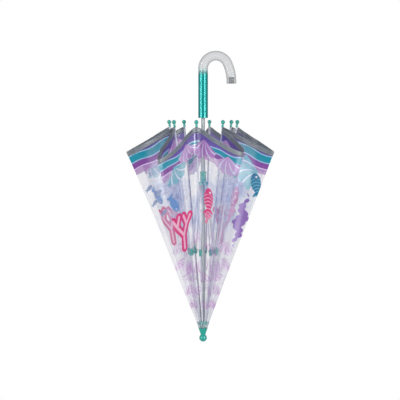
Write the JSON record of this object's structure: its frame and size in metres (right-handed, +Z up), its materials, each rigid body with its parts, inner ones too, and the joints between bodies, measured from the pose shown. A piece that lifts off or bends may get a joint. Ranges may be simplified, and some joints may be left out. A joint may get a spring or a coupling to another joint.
{
  "type": "children's umbrella",
  "caption": "Children's stick umbrella with a clear printed film canopy on hinged ribs, a sliding runner, spring catches and a hook handle, loosely closed.",
  "frame": {"origin": "on the shaft's axis at the lowest point of the ferrule", "axes": "+Z up the shaft to the handle, +X the side the hook curls to"},
  "size_m": [0.3098, 0.3206, 0.6394],
  "materials": {
    "handle": "gloss, teal clearing to colourless at the hook",
    "plug": "gloss, clear",
    "steel": "satin",
    "wire": "satin",
    "teal_plastic": "gloss",
    "rib_steel": "satin white enamel",
    "washer": "satin",
    "film": "clear printed film"
  },
  "bodies": {
    "root": {"handle": "handle", "handle_plug": "plug", "shaft": "steel", "ferrule": "teal_plastic", "top_notch": "teal_plastic", "notch_wire": "wire", "canopy_washer": "washer", "catch_rivets": "wire", "stop_pin": "wire"},
    "runner": {"runner": "teal_plastic"},
    "lower_catch": {"lower_catch": "steel"},
    "upper_catch": {"upper_catch": "steel"},
    "rib_1": {"rib_1": "rib_steel", "tip_1": "teal_plastic", "clip_1": "teal_plastic"},
    "stretcher_1": {"stretcher_1": "rib_steel"},
    "rib_2": {"rib_2": "rib_steel", "tip_2": "teal_plastic", "clip_2": "teal_plastic"},
    "stretcher_2": {"stretcher_2": "rib_steel"},
    "rib_3": {"rib_3": "rib_steel", "tip_3": "teal_plastic", "clip_3": "teal_plastic"},
    "stretcher_3": {"stretcher_3": "rib_steel"},
    "rib_4": {"rib_4": "rib_steel", "tip_4": "teal_plastic", "clip_4": "teal_plastic"},
    "stretcher_4": {"stretcher_4": "rib_steel"},
    "rib_5": {"rib_5": "rib_steel", "tip_5": "teal_plastic", "clip_5": "teal_plastic"},
    "stretcher_5": {"stretcher_5": "rib_steel"},
    "rib_6": {"rib_6": "rib_steel", "tip_6": "teal_plastic", "clip_6": "teal_plastic"},
    "stretcher_6": {"stretcher_6": "rib_steel"},
    "rib_7": {"rib_7": "rib_steel", "tip_7": "teal_plastic", "clip_7": "teal_plastic"},
    "stretcher_7": {"stretcher_7": "rib_steel"},
    "rib_8": {"rib_8": "rib_steel", "tip_8": "teal_plastic", "clip_8": "teal_plastic"},
    "stretcher_8": {"stretcher_8": "rib_steel"},
    "gore_1_left": {"gore_1_left": "film"},
    "gore_1_right": {"gore_1_right": "film"},
    "gore_2_left": {"gore_2_left": "film"},
    "gore_2_right": {"gore_2_right": "film"},
    "gore_3_left": {"gore_3_left": "film"},
    "gore_3_right": {"gore_3_right": "film"},
    "gore_4_left": {"gore_4_left": "film"},
    "gore_4_right": {"gore_4_right": "film"},
    "gore_5_left": {"gore_5_left": "film"},
    "gore_5_right": {"gore_5_right": "film"},
    "gore_6_left": {"gore_6_left": "film"},
    "gore_6_right": {"gore_6_right": "film"},
    "gore_7_left": {"gore_7_left": "film"},
    "gore_7_right": {"gore_7_right": "film"},
    "gore_8_left": {"gore_8_left": "film"},
    "gore_8_right": {"gore_8_right": "film"}
  },
  "joints": [
    {"name": "runner_slide", "type": "slide", "parent": "root", "child": "runner", "axis": [0, 0, -1], "range_m": [0, 0.09216]},
    {"name": "lower_catch_press", "type": "hinge", "parent": "root", "child": "lower_catch", "pos_m": [0, 0, 0.32137], "axis": [0.1994, -0.9799, 0], "range_deg": [0, 9], "stiffness_Nm_per_rad": 0.12, "springref_deg": -2.86},
    {"name": "upper_catch_press", "type": "hinge", "parent": "root", "child": "upper_catch", "pos_m": [0, 0, 0.30861], "axis": [-0.1994, 0.9799, 0], "range_deg": [0, 9], "stiffness_Nm_per_rad": 0.12, "springref_deg": -2.86},
    {"name": "rib_1_hinge", "type": "hinge", "parent": "root", "child": "rib_1", "pos_m": [0.00736, -0.00143, 0.042], "axis": [0.1908, 0.9816, 0], "range_deg": [0, 37.21]},
    {"name": "stretcher_1_hinge", "type": "hinge", "parent": "rib_1", "child": "stretcher_1", "pos_m": [0.02732, -0.00531, 0.20076], "axis": [0.1908, 0.9816, 0], "range_deg": [-77.55, 0]},
    {"name": "rib_2_hinge", "type": "hinge", "parent": "root", "child": "rib_2", "pos_m": [0.00622, 0.00419, 0.042], "axis": [-0.5592, 0.829, 0], "range_deg": [0, 37.21]},
    {"name": "stretcher_2_hinge", "type": "hinge", "parent": "rib_2", "child": "stretcher_2", "pos_m": [0.02307, 0.01556, 0.20076], "axis": [-0.5592, 0.829, 0], "range_deg": [-77.55, 0]},
    {"name": "rib_3_hinge", "type": "hinge", "parent": "root", "child": "rib_3", "pos_m": [0.00143, 0.00736, 0.042], "axis": [-0.9816, 0.1908, 0], "range_deg": [0, 37.21]},
    {"name": "stretcher_3_hinge", "type": "hinge", "parent": "rib_3", "child": "stretcher_3", "pos_m": [0.00531, 0.02732, 0.20076], "axis": [-0.9816, 0.1908, 0], "range_deg": [-77.55, 0]},
    {"name": "rib_4_hinge", "type": "hinge", "parent": "root", "child": "rib_4", "pos_m": [-0.00419, 0.00622, 0.042], "axis": [-0.829, -0.5592, 0], "range_deg": [0, 37.21]},
    {"name": "stretcher_4_hinge", "type": "hinge", "parent": "rib_4", "child": "stretcher_4", "pos_m": [-0.01556, 0.02307, 0.20076], "axis": [-0.829, -0.5592, 0], "range_deg": [-77.55, 0]},
    {"name": "rib_5_hinge", "type": "hinge", "parent": "root", "child": "rib_5", "pos_m": [-0.00736, 0.00143, 0.042], "axis": [-0.1908, -0.9816, 0], "range_deg": [0, 37.21]},
    {"name": "stretcher_5_hinge", "type": "hinge", "parent": "rib_5", "child": "stretcher_5", "pos_m": [-0.02732, 0.00531, 0.20076], "axis": [-0.1908, -0.9816, 0], "range_deg": [-77.55, 0]},
    {"name": "rib_6_hinge", "type": "hinge", "parent": "root", "child": "rib_6", "pos_m": [-0.00622, -0.00419, 0.042], "axis": [0.5592, -0.829, 0], "range_deg": [0, 37.21]},
    {"name": "stretcher_6_hinge", "type": "hinge", "parent": "rib_6", "child": "stretcher_6", "pos_m": [-0.02307, -0.01556, 0.20076], "axis": [0.5592, -0.829, 0], "range_deg": [-77.55, 0]},
    {"name": "rib_7_hinge", "type": "hinge", "parent": "root", "child": "rib_7", "pos_m": [-0.00143, -0.00736, 0.042], "axis": [0.9816, -0.1908, 0], "range_deg": [0, 37.21]},
    {"name": "stretcher_7_hinge", "type": "hinge", "parent": "rib_7", "child": "stretcher_7", "pos_m": [-0.00531, -0.02732, 0.20076], "axis": [0.9816, -0.1908, 0], "range_deg": [-77.55, 0]},
    {"name": "rib_8_hinge", "type": "hinge", "parent": "root", "child": "rib_8", "pos_m": [0.00419, -0.00622, 0.042], "axis": [0.829, 0.5592, 0], "range_deg": [0, 37.21]},
    {"name": "stretcher_8_hinge", "type": "hinge", "parent": "rib_8", "child": "stretcher_8", "pos_m": [0.01556, -0.02307, 0.20076], "axis": [0.829, 0.5592, 0], "range_deg": [-77.55, 0]},
    {"name": "gore_1_left_fold", "type": "hinge", "parent": "rib_1", "child": "gore_1_left", "pos_m": [0.01027, -0.002, 0.04154], "axis": [0.1502, -0.0292, 0.9882], "range_deg": [0, 46.46], "deforming": ["gore_1_left"]},
    {"name": "gore_1_right_fold", "type": "hinge", "parent": "rib_2", "child": "gore_1_right", "pos_m": [0.00868, 0.00585, 0.04154], "axis": [0.1268, 0.0855, 0.9882], "range_deg": [-96.88, 0], "deforming": ["gore_1_right"]},
    {"name": "gore_2_left_fold", "type": "hinge", "parent": "rib_2", "child": "gore_2_left", "pos_m": [0.00868, 0.00585, 0.04154], "axis": [0.1268, 0.0855, 0.9882], "range_deg": [0, 70.34], "deforming": ["gore_2_left"]},
    {"name": "gore_2_right_fold", "type": "hinge", "parent": "rib_3", "child": "gore_2_right", "pos_m": [0.002, 0.01027, 0.04154], "axis": [0.0292, 0.1502, 0.9882], "range_deg": [-70.34, 0], "deforming": ["gore_2_right"]},
    {"name": "gore_3_left_fold", "type": "hinge", "parent": "rib_3", "child": "gore_3_left", "pos_m": [0.002, 0.01027, 0.04154], "axis": [0.0292, 0.1502, 0.9882], "range_deg": [0, 70.34], "deforming": ["gore_3_left"]},
    {"name": "gore_3_right_fold", "type": "hinge", "parent": "rib_4", "child": "gore_3_right", "pos_m": [-0.00585, 0.00868, 0.04154], "axis": [-0.0855, 0.1268, 0.9882], "range_deg": [-70.34, 0], "deforming": ["gore_3_right"]},
    {"name": "gore_4_left_fold", "type": "hinge", "parent": "rib_4", "child": "gore_4_left", "pos_m": [-0.00585, 0.00868, 0.04154], "axis": [-0.0855, 0.1268, 0.9882], "range_deg": [0, 70.34], "deforming": ["gore_4_left"]},
    {"name": "gore_4_right_fold", "type": "hinge", "parent": "rib_5", "child": "gore_4_right", "pos_m": [-0.01027, 0.002, 0.04154], "axis": [-0.1502, 0.0292, 0.9882], "range_deg": [-70.34, 0], "deforming": ["gore_4_right"]},
    {"name": "gore_5_left_fold", "type": "hinge", "parent": "rib_5", "child": "gore_5_left", "pos_m": [-0.01027, 0.002, 0.04154], "axis": [-0.1502, 0.0292, 0.9882], "range_deg": [0, 54.59], "deforming": ["gore_5_left"]},
    {"name": "gore_5_right_fold", "type": "hinge", "parent": "rib_6", "child": "gore_5_right", "pos_m": [-0.00868, -0.00585, 0.04154], "axis": [-0.1268, -0.0855, 0.9882], "range_deg": [-87.2, 0], "deforming": ["gore_5_right"]},
    {"name": "gore_6_left_fold", "type": "hinge", "parent": "rib_6", "child": "gore_6_left", "pos_m": [-0.00868, -0.00585, 0.04154], "axis": [-0.1268, -0.0855, 0.9882], "range_deg": [0, 70.34], "deforming": ["gore_6_left"]},
    {"name": "gore_6_right_fold", "type": "hinge", "parent": "rib_7", "child": "gore_6_right", "pos_m": [-0.002, -0.01027, 0.04154], "axis": [-0.0292, -0.1502, 0.9882], "range_deg": [-70.34, 0], "deforming": ["gore_6_right"]},
    {"name": "gore_7_left_fold", "type": "hinge", "parent": "rib_7", "child": "gore_7_left", "pos_m": [-0.002, -0.01027, 0.04154], "axis": [-0.0292, -0.1502, 0.9882], "range_deg": [0, 46.46], "deforming": ["gore_7_left"]},
    {"name": "gore_7_right_fold", "type": "hinge", "parent": "rib_8", "child": "gore_7_right", "pos_m": [0.00585, -0.00868, 0.04154], "axis": [0.0855, -0.1268, 0.9882], "range_deg": [-96.88, 0], "deforming": ["gore_7_right"]},
    {"name": "gore_8_left_fold", "type": "hinge", "parent": "rib_8", "child": "gore_8_left", "pos_m": [0.00585, -0.00868, 0.04154], "axis": [0.0855, -0.1268, 0.9882], "range_deg": [0, 70.34], "deforming": ["gore_8_left"]},
    {"name": "gore_8_right_fold", "type": "hinge", "parent": "rib_1", "child": "gore_8_right", "pos_m": [0.01027, -0.002, 0.04154], "axis": [0.1502, -0.0292, 0.9882], "range_deg": [-70.34, 0], "deforming": ["gore_8_right"]}
  ],
  "couplings": [
    {"joint": "rib_1_hinge", "follows": "runner_slide", "rad_per_m": 7.0449},
    {"joint": "stretcher_1_hinge", "follows": "runner_slide", "rad_per_m": -14.684},
    {"joint": "rib_2_hinge", "follows": "runner_slide", "rad_per_m": 7.0449},
    {"joint": "stretcher_2_hinge", "follows": "runner_slide", "rad_per_m": -14.684},
    {"joint": "rib_3_hinge", "follows": "runner_slide", "rad_per_m": 7.0449},
    {"joint": "stretcher_3_hinge", "follows": "runner_slide", "rad_per_m": -14.684},
    {"joint": "rib_4_hinge", "follows": "runner_slide", "rad_per_m": 7.0449},
    {"joint": "stretcher_4_hinge", "follows": "runner_slide", "rad_per_m": -14.684},
    {"joint": "rib_5_hinge", "follows": "runner_slide", "rad_per_m": 7.0449},
    {"joint": "stretcher_5_hinge", "follows": "runner_slide", "rad_per_m": -14.684},
    {"joint": "rib_6_hinge", "follows": "runner_slide", "rad_per_m": 7.0449},
    {"joint": "stretcher_6_hinge", "follows": "runner_slide", "rad_per_m": -14.684},
    {"joint": "rib_7_hinge", "follows": "runner_slide", "rad_per_m": 7.0449},
    {"joint": "stretcher_7_hinge", "follows": "runner_slide", "rad_per_m": -14.684},
    {"joint": "rib_8_hinge", "follows": "runner_slide", "rad_per_m": 7.0449},
    {"joint": "stretcher_8_hinge", "follows": "runner_slide", "rad_per_m": -14.684},
    {"joint": "gore_1_left_fold", "follows": "runner_slide", "rad_per_m": 8.7974},
    {"joint": "gore_1_right_fold", "follows": "runner_slide", "rad_per_m": -18.345},
    {"joint": "gore_2_left_fold", "follows": "runner_slide", "rad_per_m": 13.32},
    {"joint": "gore_2_right_fold", "follows": "runner_slide", "rad_per_m": -13.32},
    {"joint": "gore_3_left_fold", "follows": "runner_slide", "rad_per_m": 13.32},
    {"joint": "gore_3_right_fold", "follows": "runner_slide", "rad_per_m": -13.32},
    {"joint": "gore_4_left_fold", "follows": "runner_slide", "rad_per_m": 13.32},
    {"joint": "gore_4_right_fold", "follows": "runner_slide", "rad_per_m": -13.32},
    {"joint": "gore_5_left_fold", "follows": "runner_slide", "rad_per_m": 10.336},
    {"joint": "gore_5_right_fold", "follows": "runner_slide", "rad_per_m": -16.512},
    {"joint": "gore_6_left_fold", "follows": "runner_slide", "rad_per_m": 13.32},
    {"joint": "gore_6_right_fold", "follows": "runner_slide", "rad_per_m": -13.32},
    {"joint": "gore_7_left_fold", "follows": "runner_slide", "rad_per_m": 8.7974},
    {"joint": "gore_7_right_fold", "follows": "runner_slide", "rad_per_m": -18.345},
    {"joint": "gore_8_left_fold", "follows": "runner_slide", "rad_per_m": 13.32},
    {"joint": "gore_8_right_fold", "follows": "runner_slide", "rad_per_m": -13.32}
  ]
}
